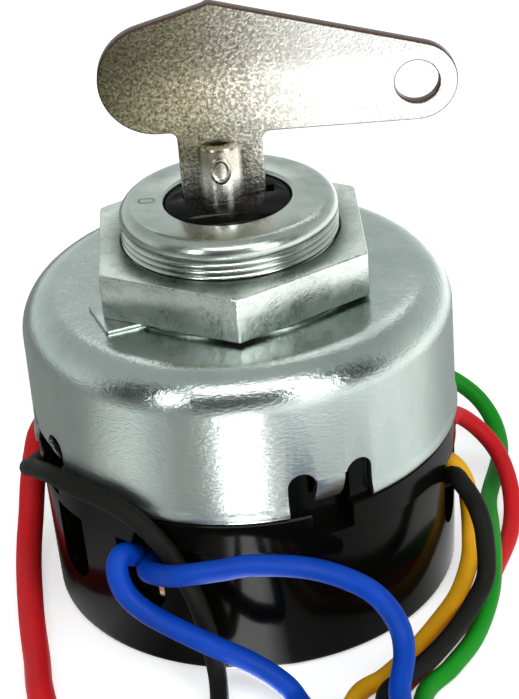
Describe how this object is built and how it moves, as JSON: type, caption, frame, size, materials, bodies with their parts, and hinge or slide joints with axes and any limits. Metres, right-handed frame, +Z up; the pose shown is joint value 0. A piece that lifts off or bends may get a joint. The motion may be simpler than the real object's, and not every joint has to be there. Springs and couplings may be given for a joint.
{
  "type": "selector key switch",
  "caption": "Panel key switch in a crimped round steel can, with threaded neck and nut, flat key, moulded base and coloured flying leads.",
  "frame": {"origin": "on the switch axis at the underside of the moulded base", "axes": "+Z up the threaded neck, -Y towards the side that the blue leads leave from, +X to the right"},
  "size_m": [0.0632, 0.123, 0.0713],
  "materials": {
    "can_zinc": "zinc plate, satin",
    "neck_zinc": "turned, zinc plated",
    "nut_zinc": "dull zinc plate",
    "washer_steel": "bright zinc plate",
    "key_nickel": "nickel plate, fine grain",
    "rotor_black": "gloss, lightly scratched",
    "seal_rubber": "soft",
    "steel": "plain",
    "spring_steel": "drawn wire",
    "inner_black": "moulded",
    "phenolic": "phenolic",
    "copper": "bare copper",
    "brass": "stamped",
    "base_black": "gloss phenolic",
    "red": "vinyl insulation",
    "black": "matte insulation",
    "blue": "vinyl insulation",
    "green": "vinyl insulation",
    "yellow": "vinyl insulation"
  },
  "bodies": {
    "housing": {"housing_can": "can_zinc", "threaded_neck": "neck_zinc", "hex_nut": "nut_zinc", "tab_washer": "washer_steel", "detent_housing": "inner_black", "contact_plate": "phenolic", "contact_studs": "brass", "terminal_lugs": "brass", "link_bar": "copper", "base_moulding": "base_black", "base_cover": "phenolic", "cover_screws": "steel", "conductor_joints": "copper", "stripped_ends": "copper", "lead_red_left": "red", "lead_black_left": "black", "lead_blue_a": "blue", "lead_blue_b": "blue", "lead_green": "green", "lead_red_right": "red", "lead_yellow": "yellow", "lead_black_right": "black"},
    "rotor": {"key_rotor": "rotor_black", "rotor_seal": "seal_rubber", "drive_spindle": "steel", "spindle_clip": "spring_steel", "thrust_washer": "brass", "detent_balls": "steel", "detent_springs": "spring_steel", "contact_carrier": "phenolic", "bridge_contact": "copper", "contact_spring": "spring_steel"},
    "key": {"key": "key_nickel"}
  },
  "joints": [
    {"name": "key_turn", "type": "hinge", "parent": "housing", "child": "rotor", "pos_m": [0, 0, 0.03], "axis": [0, 0, -1], "range_deg": [0, 90]},
    {"name": "key_slide", "type": "slide", "parent": "rotor", "child": "key", "axis": [0, 0, 1], "range_m": [0, 0.018]}
  ]
}
